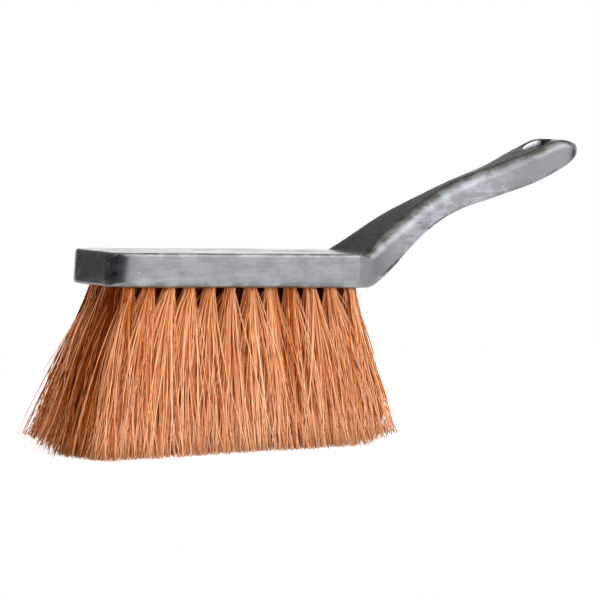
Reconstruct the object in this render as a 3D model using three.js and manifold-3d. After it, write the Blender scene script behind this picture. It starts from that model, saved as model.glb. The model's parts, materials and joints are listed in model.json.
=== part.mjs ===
// Hand brush for carpets. One moulded stock, a block with a handle rising from its end, holds rows of
// coir tufts in blind holes. Each tuft is folded double over a flat anchor near the bottom of its hole.
// Millimetres, +Z up, +X from the block's free end towards the handle. The brush stands on its
// bristle tips, which lie on the plane z = 0, and its stock leans a little towards the handle.
import * as THREE from 'three';
import { mergeVertices } from 'three/addons/utils/BufferGeometryUtils.js';
import Module from 'manifold-3d';

const { degToRad, clamp, smoothstep } = THREE.MathUtils;

// Block. Its length runs from the free end to the crease where the handle rises from its top, and its
// shoulders draw in to the handle's root over the last stretch before the crease.
const BLOCK_LENGTH = 160.5;
const BLOCK_WIDTH = 54;
const BLOCK_THICKNESS = 18.4;
const BLOCK_CORNER_RADIUS = 11;
const BLOCK_EDGE_RADIUS = 2;
const BLOCK_END_DRAFT = degToRad(5);
const SHOULDER_LENGTH = 9;
const ROOT_WIDTH = 49;

// Handle. A station's place is a share of the handle's length, counted from the crease. Its rise is the
// height of its top over the block's top, and its lift that of its underside over the block's underside.
// The round tip ends in a small flat, a little short of the full length.
const HANDLE_LENGTH = 144.8;
const HANDLE_END_RADIUS = 16;
const HANDLE_TOP_EDGE_RADIUS = 7.5;
const HANDLE_UNDER_EDGE_RADIUS = 2.6;
const HEEL = { share: 0.078, rise: 9.0, lift: 4.0, width: 41.5 };
const THROAT = { share: 0.2, rise: 20.6, lift: 20.3, width: 35.2 };
const WAIST = { share: 0.322, rise: 30.4, lift: 32.2, width: 24.4 };
const NECK = { share: 0.456, rise: 39.6, lift: 41.7, width: 18.8 };
const GRIP = { share: 0.617, rise: 48.1, lift: 49.1, width: 19.0 };
const PALM = { share: 0.791, rise: 58.0, lift: 58.9, width: 30.0 };
const HANDLE_END_RISE = 63.2;
const HANDLE_END_LIFT = 66.1;
const TIP_RISE = 60.5;
const TIP_LIFT = 74.7;
const TIP_EDGE_RADIUS = 3;
const TIP_FLAT = 0.3;
const HANG_HOLE_DIAMETER = 15.5;
const HANG_HOLE_FROM_TIP = 23.5;

// Stance: height of the block's underside over the floor at its free end, and the lean of the stock
const STANCE_HEIGHT = 90.26;
const STANCE_LEAN = degToRad(2.2);

// Tufts and their holes. The pattern fills the block's underside inside these margins.
const TUFT_ROWS = 4;
const TUFTS_PER_ROW = 12;
const FIRST_TUFT_FROM_END = 13.7;
const LAST_TUFT_FROM_CREASE = 9.3;
const OUTER_ROW_FROM_SIDE = 9.5;
const TUFT_HOLE_DIAMETER = 7;
const TUFT_HOLE_DEPTH = 12.5;
const TUFT_FOLD_THICKNESS = 1.6;

// Flat anchors
const ANCHOR_HEIGHT = 2.2;
const ANCHOR_THICKNESS = 0.5;

// Bristle strands: how far the tips spread past the block at the floor, and the strands themselves
const SPREAD_FREE_END = 18.5;
const SPREAD_HANDLE_END = 11;
const SPREAD_SIDE = 12;
const OUTER_ROW_STRANDS = 7;
const INNER_ROW_STRANDS = 6;
const STRAND_RADIUS = 0.75;
const STRAND_BEND = 0.14;
const TIP_CUT = 0.5;

// Slice of the block's underside that carries one row, and the fit between neighbouring pieces
const SLICE_THICKNESS = 2.5;
const SLICE_END_MARGIN = 4.6;
const CLEARANCE = 0.3;

// Fineness of the facets, the most of a half width or half thickness that an edge radius may take, the
// distance under which two points are one, and the depth of the block that trims the tips at the floor
const FILLET_LIMIT = 0.95;
const WELD_DISTANCE = 1e-4;
const TRIM_DEPTH = 10;
const CORNER_STEPS = 3;
const BLOCK_END_STEPS = 4;
const SHOULDER_STEPS = 3;
const HANDLE_STEPS = 22;
const TIP_STEPS = 6;
const HANG_HOLE_SIDES = 20;
const TUFT_SIDES = 6;
const STRAND_SIDES = 3;

const PLASTIC = { color: 0x5d6165, roughness: 0.42, metalness: 0 };
const COIR = { color: 0xb5673a, roughness: 0.85, metalness: 0 };
const STEEL = { color: 0xb8babd, roughness: 0.35, metalness: 1 };

const wasm = await Module();
wasm.setup();

// Turns a closed geometry into a solid that can be joined and cut.
function solidOf(geometry, matrix = new THREE.Matrix4()) {
  const bare = geometry.clone().applyMatrix4(matrix);
  bare.deleteAttribute('normal');
  bare.deleteAttribute('uv');
  const merged = mergeVertices(bare, WELD_DISTANCE);
  const vertProperties = Float32Array.from(merged.attributes.position.array);
  const triVerts = Uint32Array.from(merged.index.array);
  return new wasm.Manifold(new wasm.Mesh({ numProp: 3, vertProperties, triVerts }));
}

// Turns a finished solid back into a geometry.
function geometryOf(solid) {
  const { vertProperties, triVerts } = solid.getMesh();
  const geometry = new THREE.BufferGeometry();
  geometry.setAttribute('position', new THREE.BufferAttribute(vertProperties, 3));
  geometry.setIndex(new THREE.BufferAttribute(triVerts, 1));
  geometry.computeVertexNormals();
  return geometry;
}

// Joins rings of equal length into one closed skin, with a flat cap on the first and last ring.
function loft(rings) {
  const count = rings[0].length;
  const index = [];
  for (let ring = 0; ring + 1 < rings.length; ring += 1) {
    for (let side = 0; side < count; side += 1) {
      const next = (side + 1) % count;
      const a = ring * count + side;
      const b = ring * count + next;
      index.push(a, b, b + count, a, b + count, a + count);
    }
  }
  const last = (rings.length - 1) * count;
  for (let side = 1; side + 1 < count; side += 1) {
    index.push(0, side + 1, side);
    index.push(last, last + side, last + side + 1);
  }
  const geometry = new THREE.BufferGeometry().setFromPoints(rings.flat());
  geometry.setIndex(index);
  return geometry;
}

// How far a rounded edge has fallen away at a distance in from the outline.
function edgeFall(distance, radius) {
  const reach = clamp(radius - distance, 0, radius);
  return radius - Math.sqrt(radius * radius - reach * reach);
}

// An upright cylinder whose foot and head are at two heights.
function pillar(radius, foot, head, sides) {
  const geometry = new THREE.CylinderGeometry(radius, radius, head - foot, sides);
  geometry.rotateX(Math.PI / 2);
  return geometry.translate(0, 0, (foot + head) / 2);
}

// A smooth curve of one size along the handle.
function sizeCurve(places, sizes, endingStart) {
  const curve = new THREE.CubicInterpolant(places, sizes, 1);
  curve.settings = { endingStart, endingEnd: THREE.ZeroCurvatureEnding };
  return (along) => curve.evaluate(along)[0];
}

// The handle's top, underside and width through the named stations, from the crease to the tip
const endCentre = HANDLE_LENGTH - HANDLE_END_RADIUS;
const stations = [HEEL, THROAT, WAIST, NECK, GRIP, PALM];
const stationPlaces = stations.map((station) => station.share * HANDLE_LENGTH);
const profilePlaces = [0, ...stationPlaces, endCentre, HANDLE_LENGTH];
const rises = [0, ...stations.map((station) => station.rise), HANDLE_END_RISE, TIP_RISE];
const lifts = [0, ...stations.map((station) => station.lift), HANDLE_END_LIFT, TIP_LIFT];
const widthPlaces = [-SHOULDER_LENGTH, 0, ...stationPlaces, endCentre];
const widths = [BLOCK_WIDTH, ROOT_WIDTH, ...stations.map((station) => station.width), 2 * HANDLE_END_RADIUS];
const riseAt = sizeCurve(profilePlaces, rises, THREE.ZeroCurvatureEnding);
const liftAt = sizeCurve(profilePlaces, lifts, THREE.ZeroSlopeEnding);
const widthAt = sizeCurve(widthPlaces, widths, THREE.ZeroCurvatureEnding);

// Half width of the stock at a distance from the crease, with the round corners of both its ends.
function halfWidthAt(along) {
  if (along < -SHOULDER_LENGTH) {
    return BLOCK_WIDTH / 2 - edgeFall(along + BLOCK_LENGTH, BLOCK_CORNER_RADIUS);
  }
  if (along > endCentre) {
    return HANDLE_END_RADIUS - edgeFall(HANDLE_LENGTH - along, HANDLE_END_RADIUS);
  }
  return widthAt(along) / 2;
}

// Top, underside, half width and edge radii of the stock at a distance from the block's free end.
function stockSection(x) {
  const along = x - BLOCK_LENGTH;
  const onHandle = Math.max(along, 0);
  const grown = smoothstep(along, -SHOULDER_LENGTH, stationPlaces[0]);
  const fall = edgeFall(x, BLOCK_EDGE_RADIUS) + edgeFall(HANDLE_LENGTH - along, TIP_EDGE_RADIUS);
  return {
    top: BLOCK_THICKNESS + riseAt(onHandle) - fall,
    under: liftAt(onHandle) + fall,
    halfWidth: halfWidthAt(along),
    topRadius: BLOCK_EDGE_RADIUS + grown * (HANDLE_TOP_EDGE_RADIUS - BLOCK_EDGE_RADIUS),
    underRadius: BLOCK_EDGE_RADIUS + grown * (HANDLE_UNDER_EDGE_RADIUS - BLOCK_EDGE_RADIUS),
  };
}

// One ring of the stock: a rounded rectangle across the brush, sheared at the block's drafted end.
function stockRing(x) {
  const section = stockSection(x);
  const middle = (section.top + section.under) / 2;
  const room = FILLET_LIMIT * Math.min(section.halfWidth, section.top - middle);
  const shear = Math.tan(BLOCK_END_DRAFT) * clamp(1 - x / BLOCK_LENGTH, 0, 1);
  const ring = [];
  for (const [side, level] of [[1, 1], [-1, 1], [-1, -1], [1, -1]]) {
    const radius = Math.min(level > 0 ? section.topRadius : section.underRadius, room);
    const edge = level > 0 ? section.top : section.under;
    for (let step = 0; step <= CORNER_STEPS; step += 1) {
      const share = side === level ? step : CORNER_STEPS - step;
      const turn = (share / CORNER_STEPS) * (Math.PI / 2);
      const y = side * (section.halfWidth - radius * (1 - Math.cos(turn)));
      const z = edge - level * radius * (1 - Math.sin(turn));
      ring.push(new THREE.Vector3(x + shear * z, y, z));
    }
  }
  return ring;
}

// Places of the rings: close together round the block's end, its shoulders, the handle and its tip.
function ringPlaces() {
  const places = [];
  for (let step = 0; step <= BLOCK_END_STEPS; step += 1) {
    const turn = (step / BLOCK_END_STEPS) * (Math.PI / 2);
    places.push(BLOCK_CORNER_RADIUS * (1 - Math.cos(turn)));
  }
  for (let step = 0; step < SHOULDER_STEPS; step += 1) {
    places.push(BLOCK_LENGTH - SHOULDER_LENGTH * (1 - step / SHOULDER_STEPS));
  }
  for (let step = 0; step <= HANDLE_STEPS; step += 1) {
    places.push(BLOCK_LENGTH + (step / HANDLE_STEPS) * endCentre);
  }
  for (let step = 1; step < TIP_STEPS; step += 1) {
    const turn = (step / TIP_STEPS) * (Math.PI / 2);
    places.push(BLOCK_LENGTH + endCentre + HANDLE_END_RADIUS * Math.sin(turn));
  }
  places.push(BLOCK_LENGTH + HANDLE_LENGTH - TIP_FLAT);
  return places;
}

// The floor as the leaning stock sees it
const stance = new THREE.Matrix4().makeRotationY(STANCE_LEAN).setPosition(0, 0, STANCE_HEIGHT);
const floorHeight = (x) => x * Math.tan(STANCE_LEAN) - STANCE_HEIGHT / Math.cos(STANCE_LEAN);

// Bristle field: root grid under the block, and the wider grid of cells that the tips fill at the floor
const fieldLength = SPREAD_FREE_END + BLOCK_LENGTH + SPREAD_HANDLE_END;
const fieldWidth = BLOCK_WIDTH + 2 * SPREAD_SIDE;
const tuftPitch = (BLOCK_LENGTH - FIRST_TUFT_FROM_END - LAST_TUFT_FROM_CREASE) / (TUFTS_PER_ROW - 1);
const rowPitch = (BLOCK_WIDTH - 2 * OUTER_ROW_FROM_SIDE) / (TUFT_ROWS - 1);
const cellLength = fieldLength / TUFTS_PER_ROW;
const cellWidth = fieldWidth / TUFT_ROWS;
const rowShift = (row) => row - (TUFT_ROWS - 1) / 2;

function tuftRoot(row, place) {
  return new THREE.Vector3(FIRST_TUFT_FROM_END + place * tuftPitch, rowShift(row) * rowPitch, 0);
}

function tuftFoot(row, place) {
  const x = (place + 0.5) * cellLength - SPREAD_FREE_END;
  return new THREE.Vector3(x, rowShift(row) * cellWidth, floorHeight(x));
}

// A tuft's own frame: its origin in the mouth of the hole and +Z into the hole.
function tuftFrame(row, place) {
  const root = tuftRoot(row, place);
  const inwards = root.clone().sub(tuftFoot(row, place)).normalize();
  const turn = new THREE.Quaternion().setFromUnitVectors(new THREE.Vector3(0, 0, 1), inwards);
  return new THREE.Matrix4().compose(root, turn, new THREE.Vector3(1, 1, 1));
}

const tuftPlaces = Array.from({ length: TUFTS_PER_ROW }, (_, place) => place);
const tuftRows = Array.from({ length: TUFT_ROWS }, (_, row) => row);
const holeRadius = TUFT_HOLE_DIAMETER / 2;
const plugRadius = holeRadius - CLEARANCE;
const anchorLevel = TUFT_HOLE_DEPTH - CLEARANCE - TUFT_FOLD_THICKNESS - ANCHOR_HEIGHT / 2 - CLEARANCE;
const sliceLength = (TUFTS_PER_ROW - 1) * tuftPitch + 2 * SLICE_END_MARGIN;
const sliceWidth = rowPitch - CLEARANCE;
const sliceMiddle = FIRST_TUFT_FROM_END + ((TUFTS_PER_ROW - 1) * tuftPitch) / 2;

// The stock: the lofted block and handle, less the hang hole, the tuft holes and the slices' recess.
function stockGeometry() {
  let stock = solidOf(loft(ringPlaces().map(stockRing)));
  const reach = 2 * (BLOCK_THICKNESS + TIP_RISE);
  const hangHole = pillar(HANG_HOLE_DIAMETER / 2, 0, reach, HANG_HOLE_SIDES);
  hangHole.translate(BLOCK_LENGTH + HANDLE_LENGTH - HANG_HOLE_FROM_TIP, 0, 0);
  stock = stock.subtract(solidOf(hangHole));
  const recessDepth = SLICE_THICKNESS + CLEARANCE;
  const recess = new THREE.BoxGeometry(
    sliceLength + 2 * CLEARANCE,
    TUFT_ROWS * rowPitch + CLEARANCE,
    2 * recessDepth,
  );
  stock = stock.subtract(solidOf(recess.translate(sliceMiddle, 0, 0)));
  const hole = pillar(holeRadius, 0, TUFT_HOLE_DEPTH, TUFT_SIDES);
  for (const row of tuftRows) {
    for (const place of tuftPlaces) {
      stock = stock.subtract(solidOf(hole, tuftFrame(row, place)));
    }
  }
  return geometryOf(stock);
}

// One strand: a three-sided prism from inside the slice to just under the floor, bowed outwards.
function strandRings(root, foot) {
  return [0, 0.5, 1].map((down) => {
    const across = down * (1 - STRAND_BEND * (1 - down));
    const centre = new THREE.Vector3(
      root.x + across * (foot.x - root.x),
      root.y + across * (foot.y - root.y),
      root.z + down * (foot.z - root.z),
    );
    return Array.from({ length: STRAND_SIDES }, (_, side) => {
      const turn = (-side / STRAND_SIDES) * 2 * Math.PI;
      const spoke = new THREE.Vector3(Math.cos(turn), Math.sin(turn), 0);
      return spoke.multiplyScalar(STRAND_RADIUS).add(centre);
    });
  });
}

// All strands of a tuft. They fan out evenly, each inside its own share of the tuft's cell, so none cross.
function tuftStrands(row, place) {
  const root = tuftRoot(row, place);
  const foot = tuftFoot(row, place);
  const goldenTurn = Math.PI * (3 - Math.sqrt(5));
  const mirror = rowShift(row) < 0 ? -1 : 1;
  const outerRow = row === 0 || row === TUFT_ROWS - 1;
  const count = outerRow ? OUTER_ROW_STRANDS : INNER_ROW_STRANDS;
  const strands = [];
  for (let strand = 0; strand < count; strand += 1) {
    const out = Math.sqrt((strand + 0.5) / count);
    const turn = strand * goldenTurn + place;
    const across = new THREE.Vector2(Math.cos(turn), mirror * Math.sin(turn)).multiplyScalar(out);
    const rootReach = plugRadius - STRAND_RADIUS;
    const start = new THREE.Vector3(across.x * rootReach, across.y * rootReach, SLICE_THICKNESS / 2);
    const tip = new THREE.Vector3(
      foot.x + across.x * (cellLength / 2 - STRAND_RADIUS),
      foot.y + across.y * (cellWidth / 2 - STRAND_RADIUS),
      0,
    );
    tip.z = floorHeight(tip.x) - TIP_CUT;
    strands.push(solidOf(loft(strandRings(start.add(root), tip))));
  }
  return strands;
}

// The folded root of a tuft: a plug in the hole with a window for the anchor.
function tuftPlug(row, place) {
  const frame = tuftFrame(row, place);
  const plug = pillar(plugRadius, SLICE_THICKNESS / 2, TUFT_HOLE_DEPTH - CLEARANCE, TUFT_SIDES);
  const window = new THREE.BoxGeometry(
    2 * TUFT_HOLE_DIAMETER,
    ANCHOR_THICKNESS + 2 * CLEARANCE,
    ANCHOR_HEIGHT + 2 * CLEARANCE,
  );
  window.translate(0, 0, anchorLevel);
  return solidOf(plug, frame).subtract(solidOf(window, frame));
}

// A row of bristles: its slice of the block, its tuft roots and its strands, cut flat at the floor.
function bristleRowGeometry(row) {
  const slice = new THREE.BoxGeometry(sliceLength, sliceWidth, SLICE_THICKNESS);
  slice.translate(sliceMiddle, rowShift(row) * rowPitch, SLICE_THICKNESS / 2);
  let bristles = solidOf(slice);
  for (const place of tuftPlaces) {
    bristles = bristles.add(tuftPlug(row, place));
    for (const strand of tuftStrands(row, place)) {
      bristles = bristles.add(strand);
    }
  }
  const trim = new THREE.BoxGeometry(2 * fieldLength, 2 * fieldWidth, TRIM_DEPTH);
  trim.translate(fieldLength / 2, 0, -TRIM_DEPTH / 2);
  return geometryOf(bristles.subtract(solidOf(trim, stance.clone().invert())));
}

// A flat anchor through the tuft's fold, along the row, with pointed ends that reach for the hole's walls.
function anchorGeometry() {
  const half = holeRadius * Math.cos(Math.PI / TUFT_SIDES) - CLEARANCE;
  const shoulder = half - ANCHOR_HEIGHT / 2;
  const outline = new THREE.Shape();
  outline.moveTo(-half, 0);
  outline.lineTo(-shoulder, -ANCHOR_HEIGHT / 2);
  outline.lineTo(shoulder, -ANCHOR_HEIGHT / 2);
  outline.lineTo(half, 0);
  outline.lineTo(shoulder, ANCHOR_HEIGHT / 2);
  outline.lineTo(-shoulder, ANCHOR_HEIGHT / 2);
  outline.closePath();
  const plate = new THREE.ExtrudeGeometry(outline, { depth: ANCHOR_THICKNESS, bevelEnabled: false });
  plate.translate(0, 0, -ANCHOR_THICKNESS / 2);
  return plate.rotateX(Math.PI / 2).translate(0, 0, anchorLevel);
}

function namedMesh(name, geometry, finish) {
  const mesh = new THREE.Mesh(geometry, new THREE.MeshStandardMaterial(finish));
  mesh.name = name;
  return mesh;
}

const brush = new THREE.Group();
brush.add(namedMesh('stock', stockGeometry(), PLASTIC));
for (const row of tuftRows) {
  brush.add(namedMesh(`bristle_row_${row + 1}`, bristleRowGeometry(row), COIR));
  for (const place of tuftPlaces) {
    const number = String(place + 1).padStart(2, '0');
    const anchor = namedMesh(`anchor_${row + 1}_${number}`, anchorGeometry(), STEEL);
    anchor.applyMatrix4(tuftFrame(row, place));
    brush.add(anchor);
  }
}
brush.applyMatrix4(stance);

// The origin is on the floor, under the middle of the whole brush.
const standing = new THREE.Group();
standing.add(brush);
standing.updateMatrixWorld(true);
const middle = new THREE.Box3().setFromObject(standing, true).getCenter(new THREE.Vector3());
brush.position.x -= middle.x;

export default standing;
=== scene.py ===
"""Looks of a hand brush for carpets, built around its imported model.

A moulded plastic stock, a block with a handle rising from its end, carries rows of coir tufts. Each tuft
is folded over a flat steel anchor in its hole. Sizes are in millimetres in the stock's own frame: x from
the block's free end towards the handle, y across, z up from the block's underside. Finished meshes are in
metres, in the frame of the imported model.
"""
import json
import logging
import math
from abc import ABC, abstractmethod
from collections.abc import Mapping, Sequence
from dataclasses import dataclass, fields, replace
from enum import Enum
from typing import Any, ClassVar

import bpy
import numpy as np
from mathutils import Matrix, Vector, noise


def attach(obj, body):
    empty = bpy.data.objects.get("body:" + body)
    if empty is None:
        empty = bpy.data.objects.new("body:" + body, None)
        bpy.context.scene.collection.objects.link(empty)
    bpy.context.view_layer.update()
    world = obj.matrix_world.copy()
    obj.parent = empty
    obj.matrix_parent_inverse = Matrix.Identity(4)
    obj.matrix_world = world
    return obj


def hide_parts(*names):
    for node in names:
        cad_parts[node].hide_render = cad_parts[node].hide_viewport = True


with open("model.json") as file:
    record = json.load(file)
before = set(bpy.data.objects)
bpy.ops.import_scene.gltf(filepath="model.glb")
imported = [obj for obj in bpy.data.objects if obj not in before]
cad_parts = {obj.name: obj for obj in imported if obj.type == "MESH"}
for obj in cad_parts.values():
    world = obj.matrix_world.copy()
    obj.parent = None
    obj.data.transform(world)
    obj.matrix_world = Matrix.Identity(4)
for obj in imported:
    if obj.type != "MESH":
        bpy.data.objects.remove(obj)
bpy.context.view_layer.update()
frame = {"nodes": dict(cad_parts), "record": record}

MM = 0.001
BODY = "root"
QUARTER_TURN = math.pi / 2.0
FULL_TURN = 2.0 * math.pi
# The golden angle as a share of half a turn
GOLDEN_SHARE = 3.0 - math.sqrt(5.0)
# Keeps sizes that others are divided by away from zero
LEAST_SIZE = 0.1
LOG = logging.getLogger("carpet_brush")

Pair = tuple[float, float]
Triple = tuple[float, float, float]
Colour = tuple[float, float, float]
# A range of values and the range that it is taken to
Ramp = tuple[Pair, Pair]
Socket = bpy.types.NodeSocket


class CurveStart(Enum):
    """How a size curve starts: level, or straight towards its second station."""

    LEVEL = "level"
    STRAIGHT = "straight"


class RowKind(Enum):
    """Whether a row of tufts runs along a side of the block or between two other rows."""

    OUTER = "outer"
    INNER = "inner"


def edge_fall(distance: np.ndarray, radius: float) -> np.ndarray:
    """Says how far a rounded edge has fallen away.

    Args:
        distance: Distances in from the outline.
        radius: Radius of the edge.

    Returns:
        The fall at each distance, zero from one radius inwards.
    """
    reach = np.clip(radius - distance, 0.0, radius)
    return radius - np.sqrt(radius**2 - reach**2)


def smooth_rise(value: np.ndarray, low: float, high: float) -> np.ndarray:
    """Rises smoothly from 0 to 1 between two values.

    Args:
        value: Values to judge.
        low: Where the rise starts.
        high: Where the rise ends.

    Returns:
        Shares between 0 and 1.
    """
    share = np.clip((value - low) / (high - low), 0.0, 1.0)
    return share * share * (3.0 - 2.0 * share)


def window(value: np.ndarray, low: float, high: float, fade: float) -> np.ndarray:
    """Rises to 1 between two values and falls back to 0 outside them.

    Args:
        value: Values to judge.
        low: Lower end of the window.
        high: Upper end of the window.
        fade: Width of the soft edge at each end.

    Returns:
        Shares between 0 and 1.
    """
    return smooth_rise(value, low - fade, low) * (1.0 - smooth_rise(value, high, high + fade))


def new_piece(name: str, points: np.ndarray, faces: Sequence[Sequence[int]]) -> bpy.types.Object:
    """Makes a smooth mesh object from points and faces.

    Args:
        name: Name of the object.
        points: Points, one a row.
        faces: Corner numbers of each face.

    Returns:
        The object, in the scene.
    """
    mesh = bpy.data.meshes.new(name)
    mesh.from_pydata(points.tolist(), [], faces)
    mesh.polygons.foreach_set("use_smooth", [True] * len(faces))
    mesh.update()
    piece = bpy.data.objects.new(name, mesh)
    bpy.context.scene.collection.objects.link(piece)
    return piece


def mark_points(piece: bpy.types.Object, marks: Mapping[str, np.ndarray]) -> None:
    """Marks values on a piece's points, for its finish to read.

    Args:
        piece: The piece.
        marks: One value a point, by the mark's name.
    """
    for name, values in marks.items():
        attribute = piece.data.attributes.new(name, "FLOAT", "POINT")
        attribute.data.foreach_set("value", values.astype(np.float32))


def loft_faces(rings: int, count: int) -> list[list[int]]:
    """Lists the faces of a skin over equal rings, with a cap on each end.

    Args:
        rings: Number of rings.
        count: Points in each ring.

    Returns:
        Corner numbers of each face, outward where the rings turn counter-clockwise about their path.
    """
    faces = []
    for ring in range(rings - 1):
        for side in range(count):
            start = ring * count + side
            end = ring * count + (side + 1) % count
            faces.append([start, end, end + count, start + count])
    last = (rings - 1) * count
    faces.append(list(range(count - 1, -1, -1)))
    faces.append(list(range(last, last + count)))
    return faces


@dataclass(frozen=True)
class SizeCurve:
    """A size that runs smoothly through named stations."""

    places: tuple[float, ...]
    sizes: tuple[float, ...]
    start: CurveStart

    def slopes(self) -> np.ndarray:
        """Gives the slope at each station, the mean of its two chords.

        Returns:
            One slope a station.
        """
        chords = np.diff(self.sizes) / np.diff(self.places)
        first = 0.0 if self.start is CurveStart.LEVEL else chords[0]
        return np.concatenate(([first], (chords[:-1] + chords[1:]) / 2.0, [chords[-1]]))

    def at(self, place: np.ndarray) -> np.ndarray:
        """Reads the size along the curve.

        Args:
            place: Places along it.

        Returns:
            The size at each place.
        """
        places, sizes, slopes = np.array(self.places), np.array(self.sizes), self.slopes()
        index = np.clip(np.searchsorted(places, place, side="right") - 1, 0, len(places) - 2)
        span = places[index + 1] - places[index]
        share = (place - places[index]) / span
        start_pull = share * (1.0 - share) ** 2 * span * slopes[index]
        end_pull = share**2 * (share - 1.0) * span * slopes[index + 1]
        ease = share**2 * (3.0 - 2.0 * share)
        return sizes[index] + ease * (sizes[index + 1] - sizes[index]) + start_pull + end_pull


@dataclass(frozen=True)
class Stance:
    """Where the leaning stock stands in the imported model's frame."""

    origin: Vector
    along: Vector
    up: Vector

    @classmethod
    def on_mount(cls, record: Mapping[str, Any], local: Triple) -> "Stance":
        """Reads the stance from the mount on the block's top.

        Args:
            record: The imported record.
            local: The mount's place in the stock's own frame.

        Returns:
            The stance that puts that place on the mount.
        """
        mount = next(entry for entry in record["mounts"] if entry["name"] == "block_top")
        up = Vector(mount["axis"]).normalized()
        along = Vector((0.0, 1.0, 0.0)).cross(up)
        origin = Vector(mount["pos_m"]) - along * (local[0] * MM) - up * (local[2] * MM)
        return cls(origin, along, up)

    def matrix(self) -> Matrix:
        """Gives the matrix from the stock's millimetres to the frame's metres.

        Returns:
            A four by four matrix with the scale in it.
        """
        across = self.up.cross(self.along)
        turn = Matrix((self.along, across, self.up)).transposed().to_4x4()
        return Matrix.Translation(self.origin) @ turn @ Matrix.Scale(MM, 4)

    def place(self, points: np.ndarray) -> np.ndarray:
        """Takes points in the stock's millimetres to the frame's metres."""
        matrix = np.array(self.matrix())
        return points @ matrix[:3, :3].T + matrix[:3, 3]

    def floor_height(self, x: np.ndarray) -> np.ndarray:
        """Gives the floor's height in the stock's frame at places along the stock."""
        return -(self.origin.z / MM + x * self.along.z) / self.up.z


def opaque(colour: Any) -> Any:
    """Gives a plain colour full cover, and leaves a socket as it is.

    Args:
        colour: A colour or a socket.

    Returns:
        The colour with its cover, or the same socket.
    """
    return (*colour, 1.0) if isinstance(colour, tuple) else colour


class Sheet:
    """A node tree with short calls to add and join nodes."""

    def __init__(self, tree: bpy.types.NodeTree) -> None:
        """Takes a node tree and empties it."""
        self.tree = tree
        tree.nodes.clear()

    def node(self, kind: str, inputs: Mapping[Any, Any] | None = None, **settings: Any) -> bpy.types.Node:
        """Adds a node.

        Args:
            kind: Blender's name of the node.
            inputs: Values or sockets for its inputs, by name or number.
            **settings: Options of the node itself.

        Returns:
            The new node.
        """
        made = self.tree.nodes.new(kind)
        for name, value in settings.items():
            setattr(made, name, value)
        for key, value in (inputs or {}).items():
            if isinstance(value, Socket):
                self.tree.links.new(value, made.inputs[key])
            else:
                made.inputs[key].default_value = value
        return made

    def maths(self, operation: str, first: Any, second: Any) -> Socket:
        """Works out one value from two, each a number or a socket."""
        return self.node("ShaderNodeMath", {0: first, 1: second}, operation=operation).outputs[0]

    def vectors(self, operation: str, first: Any, second: Any) -> Socket:
        """Works out one vector from two, each a vector or a socket."""
        return self.node("ShaderNodeVectorMath", {0: first, 1: second}, operation=operation).outputs[0]

    def remap(self, value: Any, start: Pair, end: Pair) -> Socket:
        """Takes a value smoothly from one range to another."""
        inputs = {0: value, 1: start[0], 2: start[1], 3: end[0], 4: end[1]}
        return self.node("ShaderNodeMapRange", inputs, interpolation_type="SMOOTHSTEP").outputs[0]

    def blend(self, share: Any, first: Any, second: Any, way: str = "MIX") -> Socket:
        """Blends a share of the second colour into the first."""
        inputs = {0: share, 6: opaque(first), 7: opaque(second)}
        return self.node("ShaderNodeMix", inputs, data_type="RGBA", blend_type=way).outputs[2]

    def mark(self, name: str) -> Socket:
        """Reads a value that is marked on the mesh's points."""
        return self.node("ShaderNodeAttribute", attribute_name=name).outputs["Fac"]


class Effect(ABC):
    """An effect that is placed more than once: a node group, built once, and the values it is placed with.

    Each field of an effect is an input of its group, beside the places on the surface.
    """

    title: ClassVar[str]

    @classmethod
    @abstractmethod
    def draw(cls, sheet: Sheet, given: Mapping[str, Socket]) -> Socket:
        """Draws the group's nodes.

        Args:
            sheet: The group's sheet.
            given: The group's inputs by name.

        Returns:
            The mask's socket.
        """

    @classmethod
    def group(cls, values: Mapping[str, Any]) -> bpy.types.NodeTree:
        """Gives the effect's node group, built at its first use.

        Args:
            values: Values of its inputs by name, three numbers for a vector.

        Returns:
            The group, with a mask as its output.
        """
        found = bpy.data.node_groups.get(cls.title)
        if found is not None:
            return found
        tree = bpy.data.node_groups.new(cls.title, "ShaderNodeTree")
        kinds = {"Vector": "NodeSocketVector"}
        for name, value in values.items():
            kinds[name] = "NodeSocketVector" if isinstance(value, tuple) else "NodeSocketFloat"
        for name, kind in kinds.items():
            tree.interface.new_socket(name=name, in_out="INPUT", socket_type=kind)
        tree.interface.new_socket(name="Mask", in_out="OUTPUT", socket_type="NodeSocketFloat")
        sheet = Sheet(tree)
        given = sheet.node("NodeGroupInput").outputs
        sheet.node("NodeGroupOutput", {"Mask": cls.draw(sheet, given)})
        return tree

    def mask(self, sheet: Sheet, place: Socket) -> Socket:
        """Places the group in a material with this effect's values.

        Args:
            sheet: The material's sheet.
            place: Places on the surface.

        Returns:
            The mask's socket.
        """
        values = {field.name.capitalize(): getattr(self, field.name) for field in fields(self)}
        inputs = {"Vector": place, **values}
        return sheet.node("ShaderNodeGroup", inputs, node_tree=self.group(values)).outputs["Mask"]


@dataclass(frozen=True)
class Streaks(Effect):
    """Soft marks, by how many there are a metre along each axis and how far they stand out."""

    title: ClassVar[str] = "Drawn streaks"
    stretch: Triple
    contrast: float

    @classmethod
    def draw(cls, sheet: Sheet, given: Mapping[str, Socket]) -> Socket:
        """Draws noise that is stretched and set further apart from its middle.

        Args:
            sheet: The group's sheet.
            given: The group's inputs by name.

        Returns:
            The mask's socket.
        """
        middle = 0.5
        drawn = sheet.vectors("MULTIPLY", given["Vector"], given["Stretch"])
        inputs = {"Vector": drawn, "Scale": 1.0, "Detail": 5.0, "Roughness": 0.6}
        marks = sheet.node("ShaderNodeTexNoise", inputs).outputs["Fac"]
        strong = sheet.maths("MULTIPLY", sheet.maths("SUBTRACT", marks, middle), given["Contrast"])
        mask = sheet.node("ShaderNodeMath", {0: strong, 1: middle}, operation="ADD", use_clamp=True)
        return mask.outputs[0]


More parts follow.
